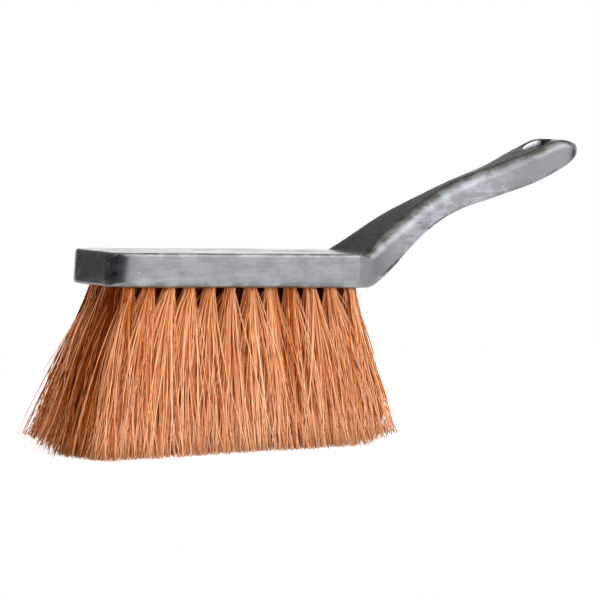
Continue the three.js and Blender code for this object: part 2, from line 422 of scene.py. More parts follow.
@dataclass(frozen=True)
class Specks(Effect):
    """Small round flecks, by how many cells there are a metre and the share of them that holds one."""

    title: ClassVar[str] = "Scattered specks"
    sizes: ClassVar[Pair] = (0.05, 0.17)
    edge: ClassVar[Pair] = (-0.03, 0.03)
    density: float
    share: float

    @classmethod
    def draw(cls, sheet: Sheet, given: Mapping[str, Socket]) -> Socket:
        """Draws a dot of a random size in some of the cells.

        Args:
            sheet: The group's sheet.
            given: The group's inputs by name.

        Returns:
            The mask's socket.
        """
        cells = sheet.node("ShaderNodeTexVoronoi", {"Vector": given["Vector"], "Scale": given["Density"]})
        draws = sheet.node("ShaderNodeSeparateColor", {0: cells.outputs["Color"]}).outputs
        held = sheet.maths("LESS_THAN", draws[0], given["Share"])
        size = sheet.remap(draws[1], (0.0, 1.0), cls.sizes)
        near = sheet.maths("SUBTRACT", size, cells.outputs["Distance"])
        return sheet.maths("MULTIPLY", held, sheet.remap(near, cls.edge, (0.0, 1.0)))


@dataclass(frozen=True)
class Scuff(Effect):
    """A ragged rubbed patch, by its centre and half sizes, how frayed it is and how far it shows."""

    title: ClassVar[str] = "Ragged patch"
    frays_a_metre: ClassVar[float] = 900.0
    edge: ClassVar[Pair] = (0.4, 1.0)
    centre: Triple
    reach: Triple
    raggedness: float
    strength: float

    @classmethod
    def draw(cls, sheet: Sheet, given: Mapping[str, Socket]) -> Socket:
        """Draws an oval patch with a frayed edge.

        Args:
            sheet: The group's sheet.
            given: The group's inputs by name.

        Returns:
            The mask's socket.
        """
        offset = sheet.vectors("SUBTRACT", given["Vector"], given["Centre"])
        shares = sheet.vectors("DIVIDE", offset, given["Reach"])
        out = sheet.node("ShaderNodeVectorMath", {0: shares}, operation="LENGTH").outputs["Value"]
        inputs = {"Vector": given["Vector"], "Scale": cls.frays_a_metre, "Detail": 3.0}
        ragged = sheet.node("ShaderNodeTexNoise", inputs).outputs["Fac"]
        frayed = sheet.maths("MULTIPLY", sheet.maths("SUBTRACT", ragged, 0.5), given["Raggedness"])
        patch = sheet.remap(sheet.maths("ADD", out, frayed), cls.edge, (1.0, 0.0))
        return sheet.maths("MULTIPLY", patch, given["Strength"])

    def on(self, stance: Stance) -> "Scuff":
        """Takes the patch from the stock's millimetres to the frame's metres."""
        centre = tuple(stance.place(np.array(self.centre)))
        return replace(self, centre=centre, reach=tuple(size * MM for size in self.reach))


class Finish(ABC):
    """A procedural material that a piece is dressed in."""

    name: str

    @abstractmethod
    def surface(self, sheet: Sheet) -> Socket:
        """Draws the material's nodes.

        Args:
            sheet: The sheet to draw on.

        Returns:
            The shader's socket.
        """

    def material(self) -> bpy.types.Material:
        """Gives the material, built at its first use.

        Returns:
            The material.
        """
        found = bpy.data.materials.get(self.name)
        if found is not None:
            return found
        made = bpy.data.materials.new(self.name)
        made.use_nodes = True
        sheet = Sheet(made.node_tree)
        sheet.node("ShaderNodeOutputMaterial", {"Surface": self.surface(sheet)})
        return made

    def dress(self, piece: bpy.types.Object) -> None:
        """Makes this the piece's only material."""
        piece.data.materials.clear()
        piece.data.materials.append(self.material())


@dataclass(frozen=True)
class MouldedPlastic(Finish):
    """Satin dark grey plastic, streaked along its flow, with scuffs and pale flecks."""

    stance: Stance
    name: str = "satin_stock_plastic"
    dark: Colour = (0.006, 0.0063, 0.0078)
    pale: Colour = (0.028, 0.029, 0.034)
    # Paler colour that paints sheen on the sides of the block and the grip.
    painted_side_sheen: Colour = (0.165, 0.178, 0.19)
    scuffed: Colour = (0.28, 0.29, 0.30)
    flecked: Colour = (0.42, 0.42, 0.41)
    # Pale colour that paints a highlight on the hang hole's inner wall.
    painted_hole_highlight: Colour = (0.8, 0.81, 0.82)
    gloss_index: float = 2.5
    streaks: Streaks = Streaks(stretch=(38.0, 260.0, 380.0), contrast=3.0)
    mottle: Streaks = Streaks(stretch=(90.0, 110.0, 120.0), contrast=4.0)
    grain: Streaks = Streaks(stretch=(1500.0, 1700.0, 1700.0), contrast=2.0)
    flecks: Specks = Specks(density=520.0, share=0.02)
    scuffs: tuple[Scuff, ...] = (
        Scuff(centre=(17.0, -27.0, 3.0), reach=(9.0, 3.0, 2.6), raggedness=1.4, strength=0.8),
        Scuff(centre=(33.0, -27.0, 4.6), reach=(26.0, 3.0, 1.3), raggedness=0.9, strength=0.5),
        Scuff(centre=(1.0, -4.0, 2.5), reach=(3.0, 20.0, 2.6), raggedness=1.4, strength=0.35),
        Scuff(centre=(151.0, -26.8, 8.0), reach=(1.6, 2.0, 6.0), raggedness=3.0, strength=0.25),
    )
    side_sheen_by_tint: Ramp = ((0.25, 0.75), (0.2, 1.0))
    edge_by_mottle: Ramp = ((0.35, 0.8), (0.05, 0.5))
    scuff_by_grain: Ramp = ((0.35, 0.75), (0.0, 1.0))
    rough_by_marks: Ramp = ((0.0, 1.4), (0.24, 0.42))
    grain_height: float = 0.35
    streak_height: float = 0.65
    bump_strength: float = 0.35
    bump_distance: float = 0.0002

    def surface(self, sheet: Sheet) -> Socket:
        """Draws the plastic's nodes.

        Args:
            sheet: The sheet to draw on.

        Returns:
            The shader's socket.
        """
        place = sheet.node("ShaderNodeTexCoord").outputs["Object"]
        marks = (self.streaks, self.mottle, self.grain)
        streak, mottle, grain = (mark.mask(sheet, place) for mark in marks)
        tint = sheet.maths("MULTIPLY", sheet.maths("ADD", streak, mottle), 0.5)
        # Painted sheen: the sides paler, most along the grip.
        painted_side_sheen = sheet.maths("MULTIPLY", sheet.mark("side_sheen"), sheet.remap(tint, *self.side_sheen_by_tint))
        worn = sheet.maths("MULTIPLY", sheet.mark("edge_wear"), sheet.remap(mottle, *self.edge_by_mottle))
        scuffed: Any = 0.0
        for scuff in self.scuffs:
            scuffed = sheet.maths("MAXIMUM", scuffed, scuff.on(self.stance).mask(sheet, place))
        scuffed = sheet.maths("MULTIPLY", scuffed, sheet.remap(grain, *self.scuff_by_grain))
        # The hang hole's layer is a painted highlight on one side of its wall.
        layers = (
            (painted_side_sheen, self.painted_side_sheen),
            (worn, self.scuffed),
            (scuffed, self.scuffed),
            (self.flecks.mask(sheet, place), self.flecked),
            (sheet.mark("hole_highlight"), self.painted_hole_highlight),
        )
        colour = sheet.blend(tint, self.dark, self.pale)
        for mask, layer in layers:
            colour = sheet.blend(mask, colour, layer)
        rough = sheet.remap(sheet.maths("ADD", streak, scuffed), *self.rough_by_marks)
        grained = sheet.maths("MULTIPLY", grain, self.grain_height)
        height = sheet.maths("ADD", grained, sheet.maths("MULTIPLY", streak, self.streak_height))
        inputs = {"Strength": self.bump_strength, "Distance": self.bump_distance, "Height": height}
        bump = sheet.node("ShaderNodeBump", inputs).outputs[0]
        inputs = {"Base Color": colour, "Roughness": rough, "IOR": self.gloss_index, "Normal": bump}
        return sheet.node("ShaderNodeBsdfPrincipled", inputs).outputs[0]


@dataclass(frozen=True)
class CoirFibre(Finish):
    """Dry coconut fibre, from red-brown to straw, each fibre with a tone of its own."""

    name: str = "coir_fibre"
    tones: tuple[Colour, ...] = (
        (0.26, 0.042, 0.004),
        (0.52, 0.13, 0.02),
        (0.90, 0.41, 0.185),
        (0.94, 0.55, 0.33),
    )
    tone_places: tuple[float, ...] = (0.0, 0.33, 0.66, 1.0)
    root_shade: Colour = (0.8, 0.7, 0.62)
    tip_tone: Ramp = ((0.45, 0.95), (0.0, 0.14))
    root_cover: Ramp = ((0.08, 0.3), (1.0, 0.0))
    roughness: float = 0.6

    def surface(self, sheet: Sheet) -> Socket:
        """Draws the fibre's nodes.

        Args:
            sheet: The sheet to draw on.

        Returns:
            The shader's socket.
        """
        down = sheet.mark("down")
        tone = sheet.maths("ADD", sheet.mark("tone"), sheet.remap(down, *self.tip_tone))
        ramp = sheet.node("ShaderNodeValToRGB", {0: tone})
        stops = ramp.color_ramp.elements
        for place in self.tone_places[1:-1]:
            stops.new(place)
        for stop, place, colour in zip(stops, self.tone_places, self.tones):
            stop.position = place
            stop.color = opaque(colour)
        rooted = sheet.remap(down, *self.root_cover)
        colour = sheet.blend(rooted, ramp.outputs[0], self.root_shade, "MULTIPLY")
        inputs = {"Base Color": colour, "Roughness": self.roughness, "Specular IOR Level": 0.0}
        return sheet.node("ShaderNodeBsdfPrincipled", inputs).outputs[0]


@dataclass(frozen=True)
class AnchorSteel(Finish):
    """Plain drawn steel with a fine lengthwise grain."""

    name: str = "drawn_anchor_steel"
    dark: Colour = (0.42, 0.42, 0.43)
    bright: Colour = (0.66, 0.66, 0.67)
    grain: Streaks = Streaks(stretch=(150.0, 2500.0, 2500.0), contrast=2.0)
    spots: Specks = Specks(density=1200.0, share=0.1)
    rough_by_grain: Ramp = ((0.0, 1.0), (0.28, 0.45))

    def surface(self, sheet: Sheet) -> Socket:
        """Draws the steel's nodes.

        Args:
            sheet: The sheet to draw on.

        Returns:
            The shader's socket.
        """
        place = sheet.node("ShaderNodeTexCoord").outputs["Object"]
        grain = self.grain.mask(sheet, place)
        colour = sheet.blend(grain, self.dark, self.bright)
        colour = sheet.blend(self.spots.mask(sheet, place), colour, self.dark)
        rough = sheet.remap(grain, *self.rough_by_grain)
        inputs = {"Base Color": colour, "Roughness": rough, "Metallic": 1.0}
        return sheet.node("ShaderNodeBsdfPrincipled", inputs).outputs[0]


@dataclass(frozen=True)
class PaleFloor(Finish):
    """Matt pale paint, white to the camera under the brush's shadow."""

    name: str = "pale_floor"
    colour: Colour = (0.82, 0.82, 0.82)
    glow: float = 0.7
    mirrored_glow: float = 0.3

    def surface(self, sheet: Sheet) -> Socket:
        """Draws the paint's nodes.

        Args:
            sheet: The sheet to draw on.

        Returns:
            The shader's socket.
        """
        rays = sheet.node("ShaderNodeLightPath").outputs
        mirrored = sheet.maths("MAXIMUM", rays["Is Glossy Ray"], rays["Is Transmission Ray"])
        glow = sheet.maths("MULTIPLY", rays["Is Camera Ray"], self.glow)
        glow = sheet.maths("MAXIMUM", glow, sheet.maths("MULTIPLY", mirrored, self.mirrored_glow))
        matt = sheet.node("ShaderNodeBsdfDiffuse", {"Color": opaque(self.colour)}).outputs[0]
        glowing = sheet.node("ShaderNodeEmission", {"Strength": glow}).outputs[0]
        return sheet.node("ShaderNodeAddShader", {0: matt, 1: glowing}).outputs[0]


@dataclass(frozen=True)
class Station:
    """One station of the handle: its share of the length, its heights over the block and its width."""

    share: float
    rise: float
    lift: float
    width: float


@dataclass(frozen=True)
class Section:
    """Sizes of the stock across its length, one of each a place."""

    top: np.ndarray
    under: np.ndarray
    half_width: np.ndarray
    top_radius: np.ndarray
    under_radius: np.ndarray


@dataclass(frozen=True)
class TuftField:
    """Places of the tufts under the block and of the wider field that their tips fill on the floor.

    A tuft is named by its row and its place in the row. Its points are in the stock's frame.
    """

    stance: Stance
    block_length: float
    block_width: float
    rows: int = 4
    tufts_per_row: int = 12
    first_from_end: float = 13.7
    last_from_crease: float = 9.3
    outer_from_side: float = 9.5
    hole_diameter: float = 7.0
    hole_depth: float = 12.5
    hole_sink: float = 0.4
    spread_free_end: float = 18.5
    spread_handle_end: float = 11.0
    spread_side: float = 12.0

    @property
    def cell_length(self) -> float:
        """Length of the floor that one tuft covers."""
        return (self.spread_free_end + self.block_length + self.spread_handle_end) / self.tufts_per_row

    @property
    def cell_width(self) -> float:
        """Width of the floor that one tuft covers."""
        return (self.block_width + 2.0 * self.spread_side) / self.rows

    @property
    def tuft_pitch(self) -> float:
        """Distance between tufts along a row."""
        used = self.block_length - self.first_from_end - self.last_from_crease
        return used / (self.tufts_per_row - 1)

    @property
    def row_pitch(self) -> float:
        """Distance between rows."""
        return (self.block_width - 2.0 * self.outer_from_side) / (self.rows - 1)

    def field_corners(self) -> tuple[np.ndarray, np.ndarray]:
        """Gives the lowest and highest corner of the field of tips, along x and y.

        Returns:
            Two corners in the stock's frame.
        """
        half_width = self.block_width / 2.0 + self.spread_side
        low = np.array([-self.spread_free_end, -half_width])
        return low, np.array([self.block_length + self.spread_handle_end, half_width])

    def row_shift(self, row: int) -> float:
        """Counts rows from the middle of the block."""
        return row - (self.rows - 1) / 2.0

    def kind(self, row: int) -> RowKind:
        """Says where a row runs."""
        return RowKind.OUTER if row in (0, self.rows - 1) else RowKind.INNER

    def root(self, row: int, place: int) -> np.ndarray:
        """Gives the middle of a tuft hole's mouth."""
        x = self.first_from_end + place * self.tuft_pitch
        return np.array([x, self.row_shift(row) * self.row_pitch, 0.0])

    def foot(self, row: int, place: int) -> np.ndarray:
        """Gives the middle of a tuft's cell on the floor."""
        x = (place + 0.5) * self.cell_length - self.spread_free_end
        return np.array([x, self.row_shift(row) * self.cell_width, self.stance.floor_height(x)])

    def inwards(self, row: int, place: int) -> np.ndarray:
        """Gives a tuft hole's direction into the block, a unit long."""
        axis = self.root(row, place) - self.foot(row, place)
        return axis / np.linalg.norm(axis)


@dataclass(frozen=True)
class Stock:
    """The moulded stock: a flat block with a rising handle that ends round, with a hang hole in it."""

    # Block
    block_length: float = 160.5
    block_width: float = 54.0
    block_thickness: float = 18.4
    block_corner_radius: float = 12.5
    block_edge_radius: float = 2.0
    block_end_edge_radius: float = 3.8
    block_under_edge_radius: float = 3.2
    block_end_draft: float = math.radians(3.5)
    shoulder_length: float = 9.0
    root_width: float = 49.0
    crease_blend: float = 1.2
    # Handle
    handle_length: float = 144.8
    handle_end_radius: float = 16.0
    handle_top_edge_radius: float = 7.5
    palm_top_edge_radius: float = 5.0
    heel_under_edge_radius: float = 6.0
    handle_under_edge_radius: float = 2.6
    stations: tuple[Station, ...] = (
        Station(share=0.078, rise=9.0, lift=4.0, width=41.5),
        Station(share=0.2, rise=20.6, lift=20.3, width=35.2),
        Station(share=0.322, rise=30.4, lift=32.2, width=24.4),
        Station(share=0.456, rise=39.6, lift=41.7, width=18.8),
        Station(share=0.617, rise=48.1, lift=49.1, width=19.0),
        Station(share=0.791, rise=58.0, lift=58.9, width=30.0),
    )
    handle_end_rise: float = 63.2
    handle_end_lift: float = 66.1
    tip_rise: float = 60.5
    tip_lift: float = 74.7
    tip_edge_radius: float = 2.0
    tip_flat: float = 0.02
    # Hang hole and cutters
    hang_hole_diameter: float = 15.5
    hang_hole_from_tip: float = 23.5
    hang_hole_rim: float = 1.2
    hang_rim_proud: float = 0.06
    hang_cutter_reach: float = 5.0
    hang_wall_levels: tuple[float, ...] = (3.2, 5.0)
    tuft_cutter_reach: float = 1.0
    tuft_sink_proud: float = 0.02
    # Wear, painted sheen on the sides and a painted highlight in the hang hole
    edge_wear_reach: float = 0.6
    side_sheen_band: Pair = (0.6, 0.95)
    block_side_sheen: float = 0.42
    block_sheen_start: Pair = (10.0, 18.0)
    block_sheen_end: Pair = (-12.0, -4.0)
    grip_start: Pair = (12.0, 32.0)
    grip_end: Pair = (80.0, 112.0)
    hole_highlight_heading: float = math.radians(105.0)
    hole_highlight_width: Pair = (0.4, 0.75)
    hole_highlight_depths: Pair = (2.6, 3.4)
    hole_highlight_rim_shares: Pair = (0.1, 0.4)
    # Mesh
    fillet_limit: float = 0.95
    corner_steps: int = 14
    flat_steps: int = 10
    side_steps: int = 5
    end_steps: int = 14
    block_step: float = 3.0
    crease_step: float = 0.5
    crease_reach: float = 8.0
    handle_step: float = 1.2
    tip_steps: int = 22
    closest_rings: float = 0.01
    hang_hole_sides: int = 72
    tuft_hole_sides: int = 28
    rim_steps: int = 7
    sharp_angle: float = math.radians(38.0)
    # Uneven faces and moulding flash
    unevenness: float = 0.22
    unevenness_length: float = 22.0
    unevenness_draw: float = 2.0
    unevenness_seed: int = 7
    flash_slit_steps: tuple[int, ...] = (3, 4, 5)
    flash_lip_step: int = 6
    flash_slit: float = 1.3
    flash_lip: float = 0.3
    flash_stretches: tuple[Pair, ...] = ((9.0, 21.0), (44.0, 56.0))
    flash_fade: float = 2.0

    @property
    def end_centre(self) -> float:
        """Distance from the crease to the middle of the handle's round end."""
        return self.handle_length - self.handle_end_radius

    @property
    def length(self) -> float:
        """Whole length of the stock."""
        return self.block_length + self.handle_length

    @property
    def mount_place(self) -> Triple:
        """The middle of the block's top."""
        return (self.block_length / 2.0, 0.0, self.block_thickness)

    def curves(self) -> tuple[SizeCurve, SizeCurve, SizeCurve]:
        """Lays curves through the handle's stations.

        Returns:
            The curves of its rise, its lift and its width.
        """
        inner = tuple(station.share * self.handle_length for station in self.stations)
        places = (0.0, *inner, self.end_centre, self.handle_length)
        rises = (0.0, *(station.rise for station in self.stations), self.handle_end_rise, self.tip_rise)
        lifts = (0.0, *(station.lift for station in self.stations), self.handle_end_lift, self.tip_lift)
        widths = (*(station.width for station in self.stations), 2.0 * self.handle_end_radius)
        shoulder_places = (-self.shoulder_length, 0.0, *inner, self.end_centre)
        return (
            SizeCurve(places, rises, CurveStart.STRAIGHT),
            SizeCurve(places, lifts, CurveStart.LEVEL),
            SizeCurve(shoulder_places, (self.block_width, self.root_width, *widths), CurveStart.STRAIGHT),
        )

    def half_width(self, along: np.ndarray, width: SizeCurve) -> np.ndarray:
        """Gives half the stock's width, round corners at both ends included.

        Args:
            along: Distances from the crease.
            width: The handle's width curve.

        Returns:
            Half the width at each distance.
        """
        block = self.block_width / 2.0 - edge_fall(along + self.block_length, self.block_corner_radius)
        tip = self.handle_end_radius - edge_fall(self.handle_length - along, self.handle_end_radius)
        middle = width.at(np.clip(along, -self.shoulder_length, self.end_centre)) / 2.0
        handle = np.where(along > self.end_centre, tip, middle)
        return np.where(along < -self.shoulder_length, block, handle)

    def section(self, x: np.ndarray) -> Section:
        """Gives the stock's sizes across its length.

        Args:
            x: Distances from the block's free end.

        Returns:
            The sizes at each distance.
        """
        rise, lift, width = self.curves()
        along = x - self.block_length
        on_handle = np.maximum(along, 0.0)
        reach = self.crease_blend
        slope = rise.slopes()[0]
        eased = slope * (along + reach) ** 2 / (4.0 * reach)
        risen = np.where(np.abs(along) < reach, np.maximum(eased, rise.at(on_handle)), rise.at(on_handle))
        heel, throat, _, neck, _, palm = (station.share * self.handle_length for station in self.stations)
        grown = smooth_rise(along, -self.shoulder_length, heel)
        drawn_in = smooth_rise(along, heel, throat)
        at_palm = smooth_rise(along, neck, palm)
        top_radius = self.block_edge_radius + grown * (self.handle_top_edge_radius - self.block_edge_radius)
        under_radius = self.block_under_edge_radius
        under_radius = under_radius + grown * (self.heel_under_edge_radius - under_radius)
        tip_fall = edge_fall(self.handle_length - along, self.tip_edge_radius)
        return Section(
            top=self.block_thickness + risen - edge_fall(x, self.block_end_edge_radius) - tip_fall,
            under=lift.at(on_handle) + edge_fall(x, self.block_edge_radius) + tip_fall,
            half_width=self.half_width(along, width),
            top_radius=top_radius + at_palm * (self.palm_top_edge_radius - top_radius),
            under_radius=under_radius + drawn_in * (self.handle_under_edge_radius - under_radius),
        )

    def ring_places(self) -> np.ndarray:
        """Lists the rings' places, close together where the outline turns.

        Returns:
            Distances from the block's free end, rising.
        """
        turns = np.linspace(0.0, QUARTER_TURN, self.end_steps + 1)
        block_end = self.block_corner_radius * (1.0 - np.cos(turns))
        block_edge = self.block_end_edge_radius * (1.0 - np.cos(turns[1:]))
        shoulder_start = self.block_length - self.shoulder_length
        block = np.arange(block_end[-1], shoulder_start, self.block_step)
        shoulder = np.arange(shoulder_start, self.block_length + self.crease_reach, self.crease_step)
        handle = np.arange(shoulder[-1], self.block_length + self.end_centre, self.handle_step)
        turns = np.linspace(0.0, QUARTER_TURN, self.tip_steps + 1)[1:-1]
        tip = self.block_length + self.end_centre + self.handle_end_radius * np.sin(turns)
        tip_edge = self.length - self.tip_edge_radius * (1.0 - np.cos(turns))
        places = np.concatenate((block_end, block_edge, block, shoulder, handle, tip, tip_edge))
        last = self.length - self.tip_flat
        places = np.sort(np.append(places[places < last], last))
        return places[np.append(np.diff(places) > self.closest_rings, True)]

    def flash(self, along: np.ndarray, step: int) -> np.ndarray:
        """Gives how far the moulding flash stands out of one line along the handle's lower edge.

        Args:
            along: Distances from the crease.
            step: Step round the lower corner, counted from the side.

        Returns:
            Heights out of the surface, below zero in the slit beside the flash.
        """
        shown = np.zeros_like(along)
        for low, high in self.flash_stretches:
            shown = np.maximum(shown, window(along, low, high, self.flash_fade))
        if step in self.flash_slit_steps:
            return -self.flash_slit * shown
        if step == self.flash_lip_step:
            return self.flash_lip * shown
        return np.zeros_like(along)

    def corner(self, x: np.ndarray, side: int, level: int) -> list[np.ndarray]:
        """Draws one rounded corner of all rings.

        Args:
            x: The rings' places.
            side: 1 for the far side, -1 for the near side.
            level: 1 for the top, -1 for the underside.

        Returns:
            Points by step round the corner, each with one point a ring.
        """
        section = self.section(x)
        middle = (section.top + section.under) / 2.0
        room = self.fillet_limit * np.minimum(section.half_width, section.top - middle)
        edge = section.top if level > 0 else section.under
        radius = np.minimum(section.top_radius if level > 0 else section.under_radius, room)
        points = []
        for step in range(self.corner_steps + 1):
            count = step if side == level else self.corner_steps - step
            turn = count / self.corner_steps * QUARTER_TURN
            out = self.flash(x - self.block_length, count) if level < 0 else np.zeros_like(x)
            y = side * (section.half_width - radius * (1.0 - math.cos(turn)) + out * math.cos(turn))
            z = edge - level * (radius * (1.0 - math.sin(turn)) - out * math.sin(turn))
            points.append(np.stack((x, y, z), axis=-1))
        return points

    def rings(self) -> np.ndarray:
        """Makes the rounded rectangles that the skin is drawn over.

        Returns:
            Points by ring and place in the ring, in the stock's frame.
        """
        x = self.ring_places()
        corners = [self.corner(x, side, level) for side, level in ((1, 1), (-1, 1), (-1, -1), (1, -1))]
        flats = (self.flat_steps, self.side_steps, self.flat_steps, self.side_steps)
        columns = []
        for corner, following, steps in zip(corners, corners[1:] + corners[:1], flats):
            gap = following[0] - corner[-1]
            columns += corner
            columns += [corner[-1] + gap * (step / steps) for step in range(1, steps)]
        rings = np.stack(columns, axis=1)
        share = np.clip(1.0 - x / self.block_length, 0.0, 1.0)
        over_middle = rings[:, :, 2] - self.block_thickness / 2.0
        rings[:, :, 0] += math.tan(self.block_end_draft) * share[:, None] * over_middle
        return rings

    def roughen(self, points: np.ndarray) -> np.ndarray:
        """Makes moulded faces a little uneven, in waves drawn out along the stock.

        Args:
            points: Points in the stock's frame.

        Returns:
            The points, each moved by a small smooth amount.
        """
        noise.seed_set(self.unevenness_seed)
        moved = points.copy()
        for index, point in enumerate(points):
            place = Vector(point) / self.unevenness_length
            place.x /= self.unevenness_draw
            moved[index] += self.unevenness * np.array(noise.noise_vector(place))
        return moved

    def skin(self) -> bpy.types.Object:
        """Builds the uncut stock.

        Returns:
            A closed mesh object in the stock's frame.
        """
        rings = self.rings()
        count, sides = rings.shape[:2]
        return new_piece("stock_body", self.roughen(rings.reshape(-1, 3)), loft_faces(count, sides))

    def hang_hole(self) -> bpy.types.Object:
        """Builds the cutter of the hang hole, with a rounded rim above and below.

        Returns:
            A closed mesh object in the stock's frame.
        """
        centre = self.length - self.hang_hole_from_tip
        around = np.linspace(0.0, FULL_TURN, self.hang_hole_sides, endpoint=False)
        profile = [(self.hang_hole_rim, -self.hang_cutter_reach)]
        for turn in np.linspace(0.0, QUARTER_TURN, self.rim_steps):
            depth = self.hang_hole_rim * (1.0 - math.cos(turn)) - self.hang_rim_proud
            profile.append((self.hang_hole_rim * (1.0 - math.sin(turn)), depth))
        profile += [(0.0, depth) for depth in self.hang_wall_levels]
        rings = []
        for above, levels in ((False, profile), (True, profile[::-1])):
            for out, depth in levels:
                radius = self.hang_hole_diameter / 2.0 + out
                x = centre + radius * np.cos(around)
                section = self.section(x)
                z = section.top - depth if above else section.under + depth
                rings.append(np.stack((x, radius * np.sin(around), z), axis=-1))
        faces = loft_faces(len(rings), self.hang_hole_sides)
        return new_piece("hang_hole_cutter", np.concatenate(rings), faces)

    def tuft_holes(self, tufts: TuftField) -> bpy.types.Object:
        """Builds the cutter of all tuft holes, each with a small countersink.

        Args:
            tufts: Places of the tufts.

        Returns:
            A mesh object of closed cutters in the stock's frame.
        """
        radius = tufts.hole_diameter / 2.0
        mouth = radius + tufts.hole_sink
        profile = (
            (mouth, -self.tuft_cutter_reach),
            (mouth, -self.tuft_sink_proud),
            (radius, tufts.hole_sink),
            (radius, tufts.hole_depth),
        )
        around = np.linspace(0.0, FULL_TURN, self.tuft_hole_sides, endpoint=False)
        points, faces = [], []
        for row in range(tufts.rows):
            for place in range(tufts.tufts_per_row):
                root, inwards = tufts.root(row, place), tufts.inwards(row, place)
                first = np.cross((0.0, 1.0, 0.0), inwards)
                first /= np.linalg.norm(first)
                second = np.cross(inwards, first)
                spokes = np.outer(np.cos(around), first) + np.outer(np.sin(around), second)
                start = len(points) * self.tuft_hole_sides
                points += [root + depth * inwards + size * spokes for size, depth in profile]
                for face in loft_faces(len(profile), self.tuft_hole_sides):
                    faces.append([corner + start for corner in face])
        return new_piece("tuft_hole_cutter", np.concatenate(points), faces)

    def mark_wear_and_painted_light(self, piece: bpy.types.Object) -> None:
        """Marks worn edges, painted sheen on the sides and a painted highlight in the hang hole.

        Args:
            piece: The cut stock, still in its own frame.
        """
        points = np.empty(len(piece.data.vertices) * 3)
        piece.data.vertices.foreach_get("co", points)
        x, y, z = points.reshape(-1, 3).T
        section = self.section(np.clip(x, 0.0, self.length - self.tip_flat))
        out = 1.0 + (np.abs(y) - section.half_width) / section.top_radius
        over = 1.0 + (z - section.top) / section.top_radius
        below = 1.0 + (section.under - z) / section.under_radius
        edge = np.clip(np.minimum(out, np.maximum(over, below)) / self.edge_wear_reach, 0.0, 1.0)
        # Painted highlight on one side of the hang hole's wall, near its top rim.
        around = x - (self.length - self.hang_hole_from_tip)
        from_axis = np.maximum(np.hypot(around, y), LEAST_SIZE)
        facing = (around * math.cos(self.hole_highlight_heading) + y * math.sin(self.hole_highlight_heading)) / from_axis
        wall = self.hang_hole_diameter / 2.0
        band = (wall + share * self.hang_hole_rim for share in self.hole_highlight_rim_shares)
        highlight = 1.0 - smooth_rise(from_axis, *band)
        highlight = highlight * (1.0 - smooth_rise(section.top - z, *self.hole_highlight_depths))
        highlight = highlight * smooth_rise(facing, *self.hole_highlight_width)
        # Painted sheen on the sides, along the grip and the block.
        along = x - self.block_length
        grip = smooth_rise(along, *self.grip_start) * (1.0 - smooth_rise(along, *self.grip_end))
        block = self.block_side_sheen * smooth_rise(x, *self.block_sheen_start)
        side = grip + block * (1.0 - smooth_rise(along, *self.block_sheen_end))
        outwards = np.abs(y) / np.maximum(section.half_width, LEAST_SIZE)
        side = side * smooth_rise(outwards, *self.side_sheen_band)
        mark_points(piece, {"edge_wear": edge, "hole_highlight": highlight, "side_sheen": side})

    def build(self, tufts: TuftField, finish: Finish) -> bpy.types.Object:
        """Builds and dresses the stock.

        Args:
            tufts: Places of the tufts.
            finish: The stock's finish.

        Returns:
            The stock, riding on the brush.
        """
        piece = self.skin()
        cutters = (self.hang_hole(), self.tuft_holes(tufts))
        for cutter in cutters:
            cut = piece.modifiers.new(cutter.name, "BOOLEAN")
            cut.operation = "DIFFERENCE"
            cut.solver = "EXACT"
            cut.object = cutter
        bpy.context.view_layer.update()
        graph = bpy.context.evaluated_depsgraph_get()
        uncut = piece.data
        piece.data = bpy.data.meshes.new_from_object(piece.evaluated_get(graph))
        piece.modifiers.clear()
        bpy.data.meshes.remove(uncut)
        for cutter in cutters:
            bpy.data.objects.remove(cutter)
        self.mark_wear_and_painted_light(piece)
        piece.data.transform(tufts.stance.matrix())
        piece.data.set_sharp_from_angle(angle=self.sharp_angle)
        piece.modifiers.new("even_normals", "WEIGHTED_NORMAL").keep_sharp = True
        finish.dress(piece)
        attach(piece, BODY)
        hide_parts("stock")
        return piece


@dataclass(frozen=True)
class WornCorner:
    """A corner of the field of tips where the fibres are worn short, by its place, reach and lift."""

    place: Pair
    reach: float
    lift: float


